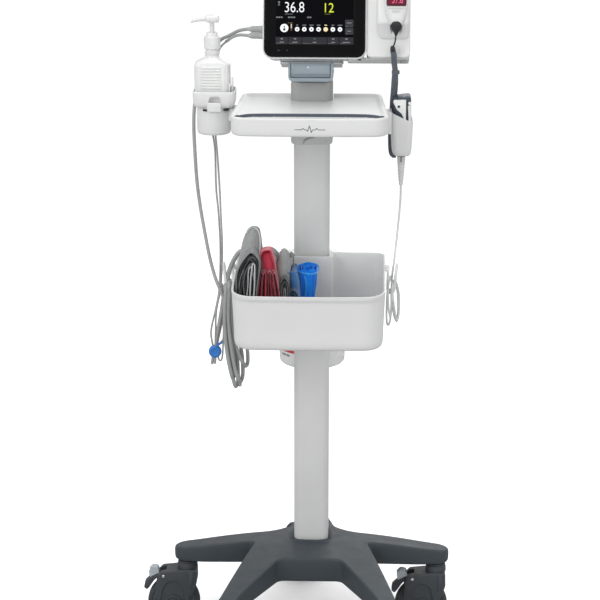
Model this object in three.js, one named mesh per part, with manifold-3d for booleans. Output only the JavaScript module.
// Vital signs monitor on a wheeled stand: a five-caster base, a square column carrying a basket
// and a canister, and a tray under a monitor that leans back.
// Millimetres, +Z up, front towards -Y, left towards -X. Stand coordinates are measured from the
// floor under the column axis; monitor coordinates start at the bottom middle of the bezel's face.
import * as THREE from 'three';
import { mergeVertices } from 'three/addons/utils/BufferGeometryUtils.js';
import Module from 'manifold-3d';

const wasm = await Module();
wasm.setup();

// ---- driving dimensions ----
const GAP = 0.3;
const WHEEL = { radius: 50, width: 26, trail: 27 };
const SWIVELS = {
  left: [-238, 0],
  right: [238, 0],
  front_left: [-157, -298],
  front_right: [157, -298],
  rear: [0, 222],
};
const BASE = { under: 140, tipRadius: 23.5, wall: 6.5, roof: 8, seat: 191 };
const STEM = { radius: 5.5, bore: 6.1 };
const COLUMN = { half: 64.5 / 2, corner: 13, wall: 3, bow: 1.5, top: 1027 };
const SLEEVE = { half: 74.8 / 2, bottom: 954, top: 1067 };
const TRAY = {
  back: 12, front: -196, halfBack: 126, halfFront: 136,
  under: 1000, floor: 1028.5, rimBack: 1039, rimFront: 1030.5,
};
const BASKET = {
  rimHalf: 133, front: -262, back: -15, rimFront: 734, rimBack: 749.6, bottom: 632, wall: 3,
};
const CANISTER = { x: -2, y: 105.5, radius: 62.5, bottom: 507, top: 700 };
const BOTTLE = { x: -175.8, y: -45, width: 62.6, depth: 44, bottom: 1030, wall: 1.8 };
const HOLDER = { x: -174, y: -45, radius: 30.2, bore: 27.4 };
const PIVOT = [-5, 1064]; // y, z of the tilt axis, which runs along X
const PIN = { radius: 3.7, bore: 4.1 };
const LEAN = 15 * Math.PI / 180;
const MONITOR_AT = [6.2, -95, 1122];
const BEZEL = { width: 176, height: 261 };
const SCREEN = { width: 136, height: 217, chin: 22 };
const HOUSING_DEPTH = 105;
const BUTTON_AT = [-55, 11]; // x, z on the bezel

const WHITE = 0xe6e7e6;
const GREY = 0xc4c6c5;
const SLATE = 0x4b565a;
const DARK = 0x24282b;
const BLUEGREY = 0x94a3b2;
const CORD = 0x969896;

// ---- solids ----
const times = (count, make) => Array.from({ length: count }, (_, i) => make(i));
const join = (...solids) => solids.reduce((sum, solid) => sum.add(solid));
const cut = (solid, ...tools) => tools.reduce((rest, tool) => rest.subtract(tool), solid);

// welds the vertices, drops collapsed triangles and turns the faces outward
const toSolid = (geometry) => {
  const loose = geometry.toNonIndexed();
  loose.deleteAttribute('normal');
  loose.deleteAttribute('uv');
  const welded = mergeVertices(loose, 1e-4);
  const index = welded.index.array;
  const coords = welded.attributes.position.array;
  const corner = (i) => new THREE.Vector3().fromArray(coords, i * 3);
  const triangles = [];
  let volume = 0;
  for (let i = 0; i < index.length; i += 3) {
    const [a, b, c] = index.slice(i, i + 3);
    if (a === b || b === c || c === a) continue;
    triangles.push([a, b, c]);
    volume += corner(a).dot(corner(b).cross(corner(c)));
  }
  const outward = volume < 0 ? triangles.map(([a, b, c]) => [a, c, b]) : triangles;
  return new wasm.Manifold(new wasm.Mesh({
    numProp: 3,
    vertProperties: Float32Array.from(coords),
    triVerts: Uint32Array.from(outward.flat()),
  }));
};

// the two coordinates left when looking along x, y or z
const PLANES = [[1, 2], [2, 0], [0, 1]];

// end cap, triangulated in the plane its ring faces most
const capFaces = (ring, offset, flip) => {
  const normal = PLANES.map(([u, v]) => ring.reduce((sum, p, i) => {
    const q = ring[(i + 1) % ring.length];
    return sum + (p[u] - q[u]) * (p[v] + q[v]);
  }, 0));
  const sizes = normal.map(Math.abs);
  const axis = sizes.indexOf(Math.max(...sizes));
  const [u, v] = PLANES[axis];
  const flat = ring.map((p) => new THREE.Vector2(p[u], p[v]));
  return THREE.ShapeUtils.triangulateShape(flat, []).flatMap((face) => {
    const [a, b, c] = face.map((i) => flat[i]);
    const turnsLeft = (b.x - a.x) * (c.y - a.y) - (b.y - a.y) * (c.x - a.x) > 0;
    const [i, j, k] = face.map((n) => n + offset);
    return (turnsLeft === normal[axis] > 0) === flip ? [i, k, j] : [i, j, k];
  });
};

// closed solid through rings of equal length
const loft = (rings) => {
  const count = rings[0].length;
  const last = rings.length - 1;
  const index = [];
  for (let k = 0; k < last; k++) {
    for (let i = 0; i < count; i++) {
      const a = k * count + i;
      const b = k * count + (i + 1) % count;
      index.push(a, b, a + count, b, b + count, a + count);
    }
  }
  index.push(...capFaces(rings[0], 0, true), ...capFaces(rings[last], last * count, false));
  const geometry = new THREE.BufferGeometry();
  geometry.setAttribute('position', new THREE.Float32BufferAttribute(rings.flat(2), 3));
  geometry.setIndex(index);
  return toSolid(geometry);
};

// outlines are [x, y] along z, [x, z] along y and [y, z] along x
const PLACE = {
  z: ([x, y], h) => [x, y, h],
  y: ([x, z], h) => [x, h, z],
  x: ([y, z], h) => [h, y, z],
};
const lift = (outline, h, axis = 'z') => outline.map((p) => PLACE[axis](p, h));
const prism = (outline, h0, h1, axis) => loft([lift(outline, h0, axis), lift(outline, h1, axis)]);
const mirrorX = (outline) => outline.map(([x, y]) => [-x, y]).reverse();

// angles in degrees
const arc = (x, y, radius, from, to, steps) => times(steps + 1, (i) => {
  const angle = (from + (to - from) * i / steps) * Math.PI / 180;
  return [x + radius * Math.cos(angle), y + radius * Math.sin(angle)];
});
const circle = (x, y, radius, sides) => times(sides, (i) => {
  const angle = 2 * Math.PI * i / sides;
  return [x + radius * Math.cos(angle), y + radius * Math.sin(angle)];
});
const roundedRect = (x0, x1, y0, y1, radius, steps = 2) => {
  const corner = Math.min(radius, (x1 - x0) / 2 - 1e-3, (y1 - y0) / 2 - 1e-3);
  return [
    ...arc(x1 - corner, y1 - corner, corner, 0, 90, steps),
    ...arc(x0 + corner, y1 - corner, corner, 90, 180, steps),
    ...arc(x0 + corner, y0 + corner, corner, 180, 270, steps),
    ...arc(x1 - corner, y0 + corner, corner, 270, 360, steps),
  ];
};

const box = (x0, x1, y0, y1, z0, z1) => {
  const geometry = new THREE.BoxGeometry(x1 - x0, y1 - y0, z1 - z0);
  geometry.translate((x0 + x1) / 2, (y0 + y1) / 2, (z0 + z1) / 2);
  return toSolid(geometry);
};
const cylinder = (x, y, radius, h0, h1, sides, axis) =>
  prism(circle(x, y, radius, sides), h0, h1, axis);

// rounded in outline; `low` and `high` chamfer the end faces
const block = (x0, x1, y0, y1, h0, h1, corner, options = {}) => {
  const { chamfer = 0, low = chamfer, high = chamfer, axis, steps } = options;
  const ring = (inset, h) => lift(roundedRect(x0 + inset, x1 - inset, y0 + inset, y1 - inset,
    Math.max(corner - inset, 0.4), steps), h, axis);
  const rings = [ring(0, h0 + low), ring(0, h1 - high)];
  if (low > 0) rings.unshift(ring(low, h0));
  if (high > 0) rings.push(ring(high, h1));
  return loft(rings);
};

// rows are [z, x0, x1, y0, y1, corner radius]
const rectRings = (rows, steps = 3) => rows.map(([z, ...rect]) => lift(
  roundedRect(...rect, steps), z));
const rectLoft = (rows, steps) => loft(rectRings(rows, steps));

// profile is [radius, height], ending on the axis or closed on itself
const lathe = (profile, x, y, sides, axis = 'z', stretch = 1) => {
  const geometry = new THREE.LatheGeometry(profile.map((p) => new THREE.Vector2(...p)), sides);
  const position = geometry.attributes.position;
  for (let i = 0; i < position.count; i++) {
    const across = [position.getX(i) + x, position.getZ(i) * stretch + y];
    position.setXYZ(i, ...PLACE[axis](across, position.getY(i)));
  }
  return toSolid(geometry);
};

// round or oval cord along a smooth curve, its frame carried without twist
const sweep = (steps, sides, radius, points, depth = radius) => {
  const path = points.map((p) => new THREE.Vector3(...p));
  const curve = new THREE.CatmullRomCurve3(path, false, 'centripetal');
  const start = curve.getTangentAt(0);
  const across = new THREE.Vector3(0, 1, 0).cross(start);
  if (across.length() < 0.2) across.set(1, 0, 0).cross(start);
  across.normalize();
  return loft(times(steps + 1, (i) => {
    const centre = curve.getPointAt(i / steps);
    const tangent = curve.getTangentAt(i / steps);
    across.addScaledVector(tangent, -across.dot(tangent)).normalize();
    const side = new THREE.Vector3().crossVectors(tangent, across);
    return circle(0, 0, 1, sides).map(([x, y]) => centre.clone()
      .addScaledVector(across, radius * x).addScaledVector(side, depth * y).toArray());
  }));
};

// everything above a line in the YZ plane
const above = (y0, z0, y1, z1) =>
  prism([[y0, z0], [y1, z1], [y1, z1 + 200], [y0, z0 + 200]], -400, 400, 'x');

// ---- groups ----
// the origin is the middle of the footprint: the casters trail to the left, so the column
// stands right of it and behind it
const part = new THREE.Group();
part.name = 'vital_signs_monitor_stand';
const stand = new THREE.Group();
stand.position.set(30.25, 38, 0);
part.add(stand);

const addPart = (name, solid, finish) => {
  const { vertProperties, triVerts } = solid.getMesh();
  const geometry = new THREE.BufferGeometry();
  geometry.setAttribute('position', new THREE.Float32BufferAttribute(vertProperties, 3));
  geometry.setIndex(Array.from(triVerts));
  geometry.computeVertexNormals();
  const mesh = new THREE.Mesh(geometry, new THREE.MeshStandardMaterial(finish));
  mesh.name = name;
  stand.add(mesh);
  return mesh;
};
const leanBack = new THREE.Matrix4().makeTranslation(...MONITOR_AT)
  .multiply(new THREE.Matrix4().makeRotationX(-LEAN));
// for solids in monitor coordinates
const addLeaning = (name, solid, finish) => {
  addPart(name, solid, finish).geometry.applyMatrix4(leanBack);
};

// ---- base casting ----
const footprint = (inset, bottom, top) => {
  const tip = BASE.tipRadius - inset;
  const halfHub = [
    [57 - inset, -112 + inset], [107 - inset, -27], [107 - inset, 33], [44, 66 - inset],
  ];
  const side = [
    [80, -30 + inset], [211, -28 + inset],
    ...arc(...SWIVELS.right, tip, -78, 78, 6),
    [211, 23 - inset], [80, 37 - inset],
  ];
  const front = [
    [57 + inset, -90], [57 + inset, -114 + inset * 0.4], [125 + inset, -254],
    ...arc(...SWIVELS.front_right, tip, -190, 30, 7),
    [160 - inset, -255], [106 - inset * 0.9, -27], [84, -20],
  ];
  const rear = [
    [-46 + inset, 40], [46 - inset, 40], [27 - inset, 130],
    ...arc(...SWIVELS.rear, tip, -8, 188, 6),
    [-27 + inset, 130],
  ];
  const outlines = [
    [...halfHub, ...mirrorX(halfHub)], side, mirrorX(side), front, mirrorX(front), rear,
  ];
  return join(...outlines.map((outline) => prism(outline, bottom, top)));
};
// radius, height of the crown, outermost first
const CROWN = [[350, 154], [300, 161], [240, 167.5], [180, 176], [120, 184], [90, 188],
  [62, BASE.seat], [0, BASE.seat]];
const crown = (drop, sides) => lathe(
  [[0, 100], [350, 100], ...CROWN.map(([r, z]) => [r, z - drop])], 0, 0, sides, 'z', 1.25);
const swivels = Object.values(SWIVELS);
const bosses = join(
  ...swivels.map((at) => cylinder(...at, 15, 130, 210, 12)),
  cylinder(0, 0, 30, 130, 210, 14),
);
const cavity = cut(footprint(BASE.wall, 120, 200).intersect(crown(BASE.roof, 20)), bosses);
addPart('base_casting', cut(
  footprint(0, BASE.under, 200).intersect(crown(0, 28)),
  cavity,
  ...swivels.map((at) => cylinder(...at, STEM.bore, 120, 156, 12)),
), { color: SLATE, roughness: 0.6, metalness: 0.2 });

// ---- column, foot collar and neck sleeve ----
// rounded square whose front and back sides bow outward
const bowedSquare = (half) => {
  const outline = roundedRect(-half, half, -half, half, COLUMN.corner, 3);
  return outline.flatMap((p, i) => {
    const q = outline[(i + 1) % outline.length];
    if (Math.abs(p[1] - q[1]) >= 1e-6 || Math.abs(p[0] - q[0]) <= 10) return [p];
    const bulge = Math.sign(p[1]) * COLUMN.bow * 4;
    return [p, ...[0.25, 0.5, 0.75].map(
      (t) => [p[0] + (q[0] - p[0]) * t, p[1] + bulge * t * (1 - t)])];
  });
};
const columnInner = COLUMN.half - COLUMN.wall;
addPart('column', cut(
  prism(bowedSquare(COLUMN.half), BASE.seat + GAP, COLUMN.top),
  prism(roundedRect(-columnInner, columnInner, -columnInner, columnInner,
    COLUMN.corner - COLUMN.wall, 3), BASE.seat - 5, COLUMN.top + 5),
), { color: GREY, roughness: 0.45 });

const columnHole = (z0, z1) => prism(bowedSquare(COLUMN.half + GAP), z0, z1);
addPart('base_collar', cut(
  rectLoft([
    [BASE.seat + GAP, -49, 49, -43, 50, 20],
    [BASE.seat + 5, -44, 44, -40, 46, 18],
    [BASE.seat + 14, -38.5, 38.5, -38, 40, 16],
  ], 4),
  columnHole(BASE.seat - 5, BASE.seat + 20),
  box(-31, 31, -60, -20, BASE.seat - 5, BASE.seat + 20),
), { color: SLATE, roughness: 0.6, metalness: 0.2 });

const outer = SLEEVE.half;
const sleeveTube = rectLoft([
  [SLEEVE.bottom, -outer + 2, outer - 2, -outer + 2, outer - 2, 15],
  [SLEEVE.bottom + 4, -outer, outer, -outer, outer, 16],
  [SLEEVE.top, -outer, outer, -outer, outer, 16],
], 2);
const openSleeve = cut(
  join(sleeveTube, block(-48, 48, -140, -30, 1013, 1024.5, 8)),
  columnHole(900, COLUMN.top + GAP),
  block(-33.6, 33.6, -33.6, 34.5, 1048, 1090, 12),
  box(-60, 60, 10, 60, 1057, 1090),
);
const lug = [...arc(...PIVOT, 8, 0, 180, 10), [PIVOT[0] - 8, 1046], [PIVOT[0] + 8, 1046]];
addPart('tray_sleeve', cut(
  join(openSleeve, prism(lug, -12, 12, 'x')),
  cylinder(...PIVOT, PIN.bore, -14, 14, 20, 'x'),
), { color: GREY, roughness: 0.5 });
addPart('tilt_pin', cylinder(...PIVOT, PIN.radius, -26, 26, 20, 'x'),
  { color: 0xb0b4b8, roughness: 0.3, metalness: 0.9 });

// ---- tray ----
const trayLength = TRAY.back - TRAY.front;
const trayHalf = (y) =>
  TRAY.halfBack + (TRAY.back - y) * (TRAY.halfFront - TRAY.halfBack) / trayLength;
// widens towards the front, whose edge bows outward
const trayOutline = (inset) => {
  const back = TRAY.back - inset;
  const front = TRAY.front + inset;
  const frontCorner = 26 - inset * 0.6;
  const backCorner = 18 - inset * 0.6;
  const backX = trayHalf(back) - inset - backCorner;
  const frontX = trayHalf(front) - inset - frontCorner;
  const frontY = front + frontCorner + 3;
  return [
    ...arc(backX, back - backCorner, backCorner, 0, 90, 4),
    ...arc(-backX, back - backCorner, backCorner, 90, 180, 4),
    ...arc(-frontX, frontY, frontCorner, 180, 270, 5),
    ...[1, 2, 3, 4, 5].map((k) => k / 6)
      .map((t) => [-frontX + 2 * frontX * t, front + 3 - 12 * t * (1 - t)]),
    ...arc(frontX, frontY, frontCorner, 270, 360, 5),
  ];
};
// lens-shaped hand hole along the front edge
const handHole = (inset) => {
  const point = (t, baseY, bulge) => [
    -125 + inset + (250 - 2 * inset) * t,
    baseY + bulge * (1 - ((2 * t - 1) ** 2) ** 1.6),
  ];
  return [
    ...times(13, (k) => point(k / 12, -176, inset - 14.5)),
    ...times(11, (k) => point((11 - k) / 12, -175, 21 - inset)),
  ];
};
const rimSlope = (TRAY.rimBack - TRAY.rimFront) / trayLength;
addPart('tray', cut(
  loft([
    lift(trayOutline(2.5), TRAY.under),
    lift(trayOutline(0), TRAY.under + 4),
    lift(trayOutline(0), TRAY.rimBack + 3),
  ]),
  prism(trayOutline(5), TRAY.floor, TRAY.rimBack + 20),
  prism(trayOutline(4), TRAY.under - 5, TRAY.floor - 3.5),
  above(TRAY.front - 20, TRAY.rimFront - 20 * rimSlope,
    TRAY.back + 20, TRAY.rimBack + 20 * rimSlope),
  prism(handHole(0), TRAY.under - 10, TRAY.rimBack + 10),
  box(-outer - 0.5, outer + 0.5, -outer - 0.5, TRAY.back + 30,
    TRAY.under - 10, TRAY.rimBack + 20),
), { color: WHITE, roughness: 0.4 });
addPart('tray_handle_liner', cut(
  prism(handHole(0.5), 1007, 1026.5),
  prism(handHole(2.2), 1009, 1030),
), { color: DARK, roughness: 0.7 });

// ---- basket ----
const basketRings = (inset) => rectRings([
  // z, half width, front, back, corner radius
  [BASKET.bottom + inset, 108, -232, -38, 26],
  [BASKET.bottom + 4 + inset * 0.9, 119, -244, -29, 31],
  [BASKET.bottom + 14 + inset * 0.5, 125, -250, -24, 34],
  [BASKET.bottom + 30, 127, -252.5, -22.5, 35],
  [762, BASKET.rimHalf + 0.6, BASKET.front - 1.5, BASKET.back + 0.5, 38],
].map(([z, half, front, back, corner]) => [
  z, -half + inset, half - inset, front + inset, back - inset, Math.max(corner - inset, 6),
]), 4);
// notch in the back wall that clears the column
const notch = (offset) =>
  block(-37 - offset, 37 + offset, -45 - offset, 30, 600, 800, 6);
const basketInner = basketRings(BASKET.wall);
addPart('basket', cut(
  loft(basketRings(0)),
  notch(0),
  cut(join(loft(basketInner), prism(basketInner[4], 761.9, 790)), notch(BASKET.wall)),
  above(-300, BASKET.rimFront - 2.4, 20, BASKET.rimBack + 2.2),
), { color: WHITE, roughness: 0.35 });
addPart('basket_bracket', cut(
  block(-36.6, 36.6, -44.6, 20, 655, 735, 5, { chamfer: 1 }),
  columnHole(640, 750),
  box(-20, 20, -20, 40, 640, 750),
), { color: GREY, roughness: 0.5 });
// x, z of the left hook
const HOOK = [
  [-137, 741], [-137, 706], [-143, 699], [-154, 699], [-160, 706], [-160, 752], [-155, 752],
  [-155, 711], [-152, 706], [-146, 706], [-142, 711], [-142, 750], [-133.6, 750], [-133.6, 741],
];
for (const [side, sign] of [['left', 1], ['right', -1]]) {
  addPart(`basket_hook_${side}`, prism(HOOK.map(([x, z]) => [sign * x, z]), -117, -103, 'y'),
    { color: GREY, roughness: 0.5 });
}

// ---- canister behind the column ----
const { x: canX, y: canY, radius: canR, bottom: canBottom, top: canTop } = CANISTER;
addPart('canister_holder', cut(
  join(
    cylinder(canX, canY, 69, 640, 660, 28),
    box(-24, 24, COLUMN.half + 1.9, 60, 632, 659.9),
  ),
  cylinder(canX, canY, canR + 0.9, 600, 700, 28),
), { color: GREY, roughness: 0.5 });
addPart('canister_body', lathe([
  [0, canBottom], [50, canBottom], [58, canBottom + 3], [canR, canBottom + 11],
  [canR, 660.4], [67.5, 660.4], [67.5, 665], [canR, 668], [canR, canTop],
  [canR - 2, canTop], [canR - 2, canBottom + 14], [54, canBottom + 4.5], [0, canBottom + 3],
], canX, canY, 24), { color: WHITE, roughness: 0.35 });
addPart('canister_lid', join(
  lathe([
    [0, canTop + 0.4], [64.5, canTop + 0.4], [65.5, canTop + 2],
    [65.5, canTop + 8], [60, canTop + 12], [0, canTop + 12],
  ], canX, canY, 24),
  block(canX - 14, canX + 14, canY + 55, canY + 70, canTop + 1.2, canTop + 9, 3, { chamfer: 1 }),
), { color: WHITE, roughness: 0.35 });

// ---- sanitizer holder, cradle, bottle and pump ----
addPart('sanitizer_holder', cut(
  join(
    lathe([[0, 976], [24, 976], [HOLDER.radius, 980], [HOLDER.radius, 1018], [0, 1018]],
      HOLDER.x, HOLDER.y, 24),
    box(-203.4, -200.5, -57, -33, 996, 1025.7),
    box(-147.5, -144.6, -57, -33, 996, 1025.7),
    block(-146, -130.3, -60, -30, 1003, 1022, 3, { chamfer: 1 }),
  ),
  cylinder(HOLDER.x, HOLDER.y, HOLDER.bore, 979, 1040, 24),
), { color: WHITE, roughness: 0.4 });
addPart('sanitizer_cradle', cut(
  block(-210, -134.6, -78, -12, 1026, 1055.5, 10, { chamfer: 1.5 }),
  block(-207.9, -141.2, -72, -18, 1029.6, 1070, 8),
  block(-182, -158, 1035, 1050, -90, -60, 4, { axis: 'y' }),
), { color: WHITE, roughness: 0.4 });

const bottleRings = (inset, bottom) => {
  const halfX = BOTTLE.width / 2;
  const halfY = BOTTLE.depth / 2;
  return rectRings([
    // z, half width, half depth, corner radius
    [bottom, halfX - 2, halfY - 2, 8],
    [bottom + 3, halfX, halfY, 10],
    [1096, halfX, halfY, 10],
    [1104, halfX - 6, halfY - 4, 11],
    [1111, 15.5, 14.5, 10],
    [1115, 11.8, 11.8, 11.7 - inset],
    [1127, 11.8, 11.8, 11.7 - inset],
  ].map(([z, wide, deep, corner]) => [
    z, BOTTLE.x - (wide - inset), BOTTLE.x + (wide - inset),
    BOTTLE.y - (deep - inset), BOTTLE.y + (deep - inset), corner,
  ]), 4);
};
const bottleInner = bottleRings(BOTTLE.wall, BOTTLE.bottom + 2.2);
addPart('bottle', cut(
  loft(bottleRings(0, BOTTLE.bottom)),
  loft([...bottleInner, lift(bottleInner[6], 1130)]),
), { color: 0xeceeee, roughness: 0.25 });
// dip tube, neck plug and collar in one turning
addPart('pump_collar', cut(
  lathe([
    [0, 1042], [2.6, 1042], [2.6, 1096], [6.8, 1098], [6.8, 1127.4], [14.4, 1127.4],
    [14.6, 1129], [14.6, 1148], [13.6, 1150], [10.2, 1151], [10.2, 1156], [9, 1157], [0, 1157],
  ], BOTTLE.x, BOTTLE.y, 16),
  cylinder(BOTTLE.x, BOTTLE.y, 4.9, 1101, 1170, 12),
), { color: 0xf0f0f0, roughness: 0.35 });
// x from the bottle axis, half width, z
const SPOUT = [
  [9, 9, 1181], [-6, 8.5, 1181.4], [-22, 5.2, 1181.6], [-32, 3.4, 1180.6], [-37.5, 2.8, 1178],
];
addPart('pump_head', join(
  lathe([
    [0, 1119], [4.2, 1119], [4.2, 1172.5], [7.5, 1173],
    [8.6, 1178], [8.4, 1185], [7, 1187], [0, 1187.4],
  ], BOTTLE.x, BOTTLE.y, 12),
  loft(SPOUT.map(([x, half, z]) => circle(0, 0, 1, 12).map(([across, up]) => [
    BOTTLE.x + x, BOTTLE.y + across * half, z + up * Math.min(half, 5.2),
  ]))),
), { color: 0xf0f0f0, roughness: 0.35 });

// ---- scanner, its holder and trigger ----
const scannerPocket = cut(
  block(141, 180.4, -95, -35, 944, 1030, 11, { chamfer: 2 }),
  block(143.2, 178.2, -92.8, -37.2, 947, 1050, 9),
  block(148, 173, -80, -48, 930, 960, 6),
  prism([[130, 1027], [141, 1023.5], [172, 1009], [190, 1007], [190, 1080], [130, 1080]],
    -120, 0, 'y'),
);
addPart('scanner_holder', join(
  scannerPocket,
  block(131.7, 142.4, -93, -60, 1000, 1021, 2, { chamfer: 1 }),
), { color: WHITE, roughness: 0.4 });
const scannerRings = rectRings([
  [886, 156.5, 163.8, -67.5, -60.2, 3.5], [933, 152.9, 167.6, -71.5, -56.5, 6],
  [940, 152.9, 168, -72, -56, 6], [950, 149, 172, -78, -50, 6],
  [966, 146, 175.6, -88, -42, 8], [1030, 145, 177, -90.5, -40, 9],
  [1042, 145.5, 177.4, -90, -40, 9], [1046, 150, 176, -87, -43, 8],
]);
// the top face rises to the right
const slantTop = ([x, y, z]) => [x, y, z > 1035 ? z + (x - 145) * 0.12 : z];
addPart('scanner_body', cut(
  loft(scannerRings.map((ring) => ring.map(slantTop))),
  cylinder(155, 1031, 5, -110, -84, 16, 'y'),
), { color: WHITE, roughness: 0.35 });
addPart('scanner_trigger', cylinder(155, 1031, 4.5, -91.6, -86.2, 16, 'y'),
  { color: DARK, roughness: 0.5 });

// ---- tilt head, latch, mount plate ----
const cheek = [...arc(...PIVOT, 7.5, 180, 360, 10), [PIVOT[0] + 7.5, 1076], [PIVOT[0] - 7.5, 1076]];
// y, z
const WEDGE = [[-60, 1074.5], [-58, 1072.5], [-48, 1072.5], [-42, 1075.5], [8, 1075.5],
  [8, 1082], [-60, 1100.1]];
addPart('tilt_head', cut(
  join(
    prism(WEDGE, -39.5, 38.8, 'x'),
    prism(cheek, -24, -12.6, 'x'),
    prism(cheek, 12.6, 24, 'x'),
  ),
  cylinder(...PIVOT, PIN.bore, -40, 40, 20, 'x'),
), { color: BLUEGREY, roughness: 0.35, metalness: 0.3 });
addPart('release_latch',
  block(-36.6, 36.2, 1079.5, 1099, -64.6, -60.4, 3, { chamfer: 1, axis: 'y' }),
  { color: BLUEGREY, roughness: 0.35, metalness: 0.3 });
// the column axis in monitor coordinates
const mountX = -MONITOR_AT[0];
addLeaning('mount_plate', join(
  block(mountX - 54.3, mountX + 54.3, 38.5, 110, -11.5, -6.5, 5, { chamfer: 0.8 }),
  box(mountX - 8, mountX + 8, 42, 104, -7, -3),
  box(mountX - 14, mountX + 14, 42, 104, -3.6, -1),
), { color: 0xb9bdc0, roughness: 0.4, metalness: 0.5 });

// ---- monitor ----
const bezelHalf = BEZEL.width / 2;
const housingHalf = bezelHalf + 3;
const housingShell = cut(
  block(-housingHalf, housingHalf, -3, BEZEL.height + 3, 4, HOUSING_DEPTH, 18,
    { axis: 'y', steps: 4, high: 7 }),
  block(-housingHalf + 3.5, housingHalf - 3.5, 0.5, BEZEL.height - 0.5, 8, HOUSING_DEPTH - 3.5,
    14, { axis: 'y', steps: 4, high: 6 }),
  block(-bezelHalf - GAP, bezelHalf + GAP, -GAP, BEZEL.height + GAP, 0, 9.2, 15 + GAP,
    { axis: 'y', steps: 4 }),
);
const posts = [[-70, 36], [70, 36], [-70, 224], [70, 224]]
  .map((at) => cylinder(...at, 4, 26.3, HOUSING_DEPTH - 3, 8, 'y'));
// a T-slot in the foot takes the rail of the mount plate
addLeaning('monitor_rear_housing', cut(
  join(
    housingShell,
    ...posts,
    box(mountX - 30, mountX + 30, 40, 103, -6.2, 0),
    box(-64, 44, 58, HOUSING_DEPTH - 3, 13, 17),
  ),
  box(mountX - 8.5, mountX + 8.5, 30, 120, -8, -3),
  box(mountX - 14.5, mountX + 14.5, 30, 120, -4, -0.6),
), { color: WHITE, roughness: 0.45 });
const screenHalf = SCREEN.width / 2;
const screenTop = SCREEN.chin + SCREEN.height;
addLeaning('monitor_bezel', cut(
  block(-bezelHalf, bezelHalf, 0, BEZEL.height, 0, 8.7, 15, { axis: 'y', steps: 4, low: 1.5 }),
  box(-screenHalf, screenHalf, -5, 20, SCREEN.chin, screenTop),
  cylinder(...BUTTON_AT, 4.1, -5, 20, 20, 'y'),
), { color: 0x1c1d1f, roughness: 0.3 });
addLeaning('display_panel',
  box(-screenHalf + GAP, screenHalf - GAP, 0.8, 8, SCREEN.chin + GAP, screenTop - GAP),
  { color: 0x0a0b0e, roughness: 0.1 });
addLeaning('power_button', cylinder(...BUTTON_AT, 3.7, -0.7, 6, 20, 'y'),
  { color: 0x3a3d40, roughness: 0.4 });
addLeaning('battery_pack', box(-60, 40, 60, 98, 17.4, 78), { color: 0x30343a, roughness: 0.6 });
addLeaning('main_board', box(-76, 76, 24, 26, 30, 230), { color: 0x2d6a45, roughness: 0.6 });
addLeaning('side_module', join(
  cut(
    block(housingHalf + GAP, 167, -4, 212, 6, 98, 8, { chamfer: 2, axis: 'y', steps: 3 }),
    block(housingHalf - 10, 164, -1, 209, 9, 95, 6, { axis: 'y', steps: 3 }),
  ),
  cylinder(157, 45, 5, -10, -3.5, 12),
  cylinder(100, 45, 5, -10, -3.5, 12),
), { color: WHITE, roughness: 0.45 });

// ---- thermometer and its cradle ----
addLeaning('thermometer_cradle', cut(
  block(108, 165.4, 33, 128, -16, 5.6, 8, { axis: 'y', steps: 3, low: 3 }),
  rectLoft([
    [58, 126.5, 157.5, -60, -3, 6], [84, 118.5, 163, -60, -3, 6], [140, 118.5, 163, -60, -3, 6],
  ]),
  box(131, 153, -30, -3, 20, 60),
), { color: WHITE, roughness: 0.4 });
addLeaning('thermometer_body', cut(
  rectLoft([
    [38, 133, 151, -15, -5, 4], [54, 132.5, 151.5, -16, -4.5, 4], [61, 130, 154, -22, -4, 7],
    [78, 124, 160, -26, -4, 9], [96, 120.5, 161.8, -28, -4, 10],
    [132, 120.5, 161.8, -28, -4, 10], [150, 124, 158.5, -26, -4, 9],
    [166, 133, 149, -30, -12, 7], [176, 137.5, 144.5, -40, -30, 3],
  ]),
  box(134, 149, -60, -24.6, 80.4, 86.6),
), { color: WHITE, roughness: 0.3 });
addLeaning('thermometer_button',
  block(134.5, 148.5, 80.9, 86.1, -28.6, -25.6, 1.2, { chamfer: 0.5, axis: 'y' }),
  { color: 0xaab0b4, roughness: 0.4 });

// ---- plugs on the monitor's left side ----
// x, radius
const PLUG = [[-91.3, 5.4], [-95, 5.4], [-95.5, 4.6], [-104, 4.6], [-114, 3.2]];
for (const [name, y, z] of [['hose_connector', 33, 51.7], ['sensor_connector', 35.2, 40.6]]) {
  addLeaning(name, loft(PLUG.map(([x, radius]) => lift(circle(y, z, radius, 14), x, 'x'))),
    { color: 0x8c8e8e, roughness: 0.5 });
}

// ---- cords ----
addPart('hose_bundle', join(
  sweep(20, 6, 4.4, [
    [-136, -8, 1128], [-160, 6, 1106], [-196, 8, 1082], [-214, -4, 1050], [-217, -30, 1012],
    [-215, -44, 960], [-209, -45, 890], [-199, -50, 830], [-186, -66, 780], [-172, -90, 742],
    [-164, -120, 724],
  ]),
  sweep(5, 6, 4.4, [[-164, -120, 724], [-158, -126, 708], [-149, -125, 686]]),
  sweep(18, 8, 8.5, [
    [-148.5, -96, 690], [-150, -90, 640], [-150, -92, 580], [-144, -100, 536],
    [-137, -108, 520], [-130, -116, 536], [-132, -124, 580], [-140, -126, 625],
    [-147, -124, 690],
  ]),
  sweep(8, 6, 5.2, [
    [-148.5, -93, 695], [-148.5, -102, 715.6], [-148.5, -110, 716.2], [-148.5, -119, 715.6],
    [-148, -126, 690],
  ]),
), { color: CORD, roughness: 0.7 });
addPart('sensor_cable', sweep(16, 6, 3.2, [
  [-171, -10, 1012], [-170, -7, 980], [-167, -20, 940], [-168, -34, 880], [-170, -44, 815],
  [-176, -58, 770], [-180, -60, 700], [-182, -62, 640], [-178, -64, 598],
]), { color: CORD, roughness: 0.7 });
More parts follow.
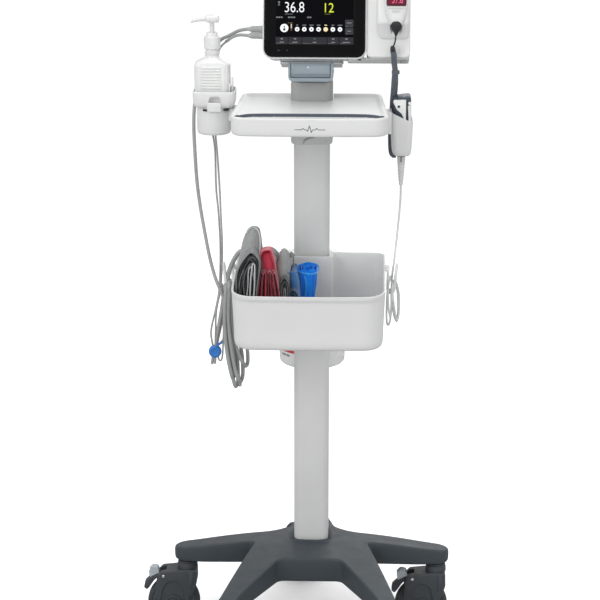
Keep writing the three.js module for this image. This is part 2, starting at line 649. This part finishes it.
addPart('thermometer_cord', sweep(18, 6, 4, [
  [149, -27, 1080], [147, -27, 1046], [142, -29, 1020], [137, -40, 1000], [136, -46, 965],
  [136.2, -46.5, 944], [140, -47, 934], [146, -48, 932.5], [153, -48, 934],
], 2.4), { color: 0x4a525c, roughness: 0.7 });
addPart('scanner_cable', sweep(36, 6, 3, [
  [160, -64, 879], [159, -63, 830], [155, -66, 770], [157, -80, 735], [168, -92, 722],
  [170, -108, 700], [168, -120, 660], [160, -122, 632], [150, -110, 628], [146, -100, 660],
  [147.5, -97, 700], [148.5, -102, 715.6], [148.5, -112, 716.6], [148.5, -122, 712],
  [148, -128, 690], [152, -126, 655],
]), { color: 0xc8caca, roughness: 0.6 });

// ---- cuffs in the basket ----
addPart('cuff_grey_large', rectLoft([
  [639, -114, -86, -205, -75, 12], [648, -118, -84, -210, -70, 14],
  [730, -124, -87, -212, -68, 16], [800, -125, -90, -190, -80, 16],
  [824, -118, -96, -170, -95, 10],
]), { color: 0xa6a8a8, roughness: 0.9 });
addPart('cuff_red', rectLoft([
  [639, -80, -58, -200, -75, 9], [650, -83, -55, -205, -70, 12],
  [740, -85, -55, -205, -70, 12], [780, -86, -62, -185, -85, 10],
  [788, -82, -66, -175, -95, 7],
]), { color: 0xb4324a, roughness: 0.9 });
addPart('cuff_grey_small', rectLoft([
  [639, -52, -41, -180, -80, 5], [650, -54, -38, -185, -75, 7],
  [770, -55, -39, -180, -80, 7], [786, -52, -42, -170, -95, 4],
]), { color: 0xa2a5a5, roughness: 0.9 });
addPart('cuff_blue_roll', rectLoft([
  [639, -16, 4, -142, -122, 9.9], [690, -18, 6, -144, -120, 11.9],
  [755, -24, 13, -150, -113, 18], [760, -22, 11, -148, -115, 16],
]), { color: 0x1a6fd0, roughness: 0.8 });

// ---- casters ----
const halfWheel = WHEEL.width / 2;
const halfSlot = halfWheel + 1.8;
const halfFork = 21;
const axleZ = WHEEL.radius;
// radius, offset along the axle
const TYRE = [
  [5.7, -halfWheel], [18, -halfWheel], [38, -halfWheel + 3], [41, -halfWheel],
  [46, -halfWheel], [WHEEL.radius, -halfWheel + 4], [WHEEL.radius, halfWheel - 4],
  [46, halfWheel], [41, halfWheel], [38, halfWheel - 3], [18, halfWheel], [5.7, halfWheel],
  [5.7, -halfWheel],
];
// x from the axle, z
const BRAKE = [
  [-16, 107.5], [-29, 108], [-31, 117], [-39, 118.5], [-45, 113], [-45, 100], [-48, 96],
  [-55, 89], [-57, 78], [-51, 74], [-46, 81], [-37, 94], [-33, 97], [-28, 100], [-16, 101.5],
];
const caster = (name, stemX, y) => {
  const axleX = stemX - WHEEL.trail;
  const cheekOutline = [
    [stemX - 14, 122], [axleX - 22, 119.5], [axleX - 29, 112], [axleX - 31, 96],
    [axleX - 33, 64], [axleX - 22, 44], [axleX - 10, 35], [axleX + 8, 35], [axleX + 20, 44],
    [stemX + 11, 72], [stemX + 17.5, 96], [stemX + 17.5, 122],
  ];
  const hoodOutline = [
    [stemX - 14, 122.5], [axleX - 22, 120], [axleX - 29.5, 111], [axleX - 28, 105],
    [stemX + 9, 105], [stemX + 12, 94], [stemX + 17.5, 94], [stemX + 17.5, 122.5],
  ];
  const forkBody = join(
    prism(cheekOutline, y - halfFork, y - halfSlot, 'y'),
    prism(cheekOutline, y + halfSlot, y + halfFork, 'y'),
    cut(
      prism(hoodOutline, y - halfFork, y + halfFork, 'y'),
      cylinder(axleX, axleZ, WHEEL.radius + 3, y - halfSlot, y + halfSlot, 24, 'y'),
    ),
    lathe([
      [0, 118], [18.5, 118], [18.5, 136], [15, 139.4],
      [STEM.radius, 139.4], [STEM.radius, 154], [0, 154],
    ], stemX, y, 12),
  );
  addPart(`caster_${name}_fork`, join(
    cut(forkBody, box(axleX - 60, axleX - 14, y - 9.5, y + 9.5, 98, 130)),
    cylinder(axleX, axleZ, 5, y - halfFork, y + halfFork, 12, 'y'),
  ), { color: DARK, roughness: 0.55 });
  addPart(`caster_${name}_wheel`,
    lathe(TYRE.map(([r, along]) => [r, along + y]), axleX, axleZ, 20, 'y'),
    { color: 0x303538, roughness: 0.6 });
  addPart(`caster_${name}_brake`,
    prism(BRAKE.map(([x, z]) => [axleX + x, z]), y - 9, y + 9, 'y'),
    { color: 0xaab2b8, roughness: 0.4 });
};
for (const [name, at] of Object.entries(SWIVELS)) caster(name, ...at);

export default part;
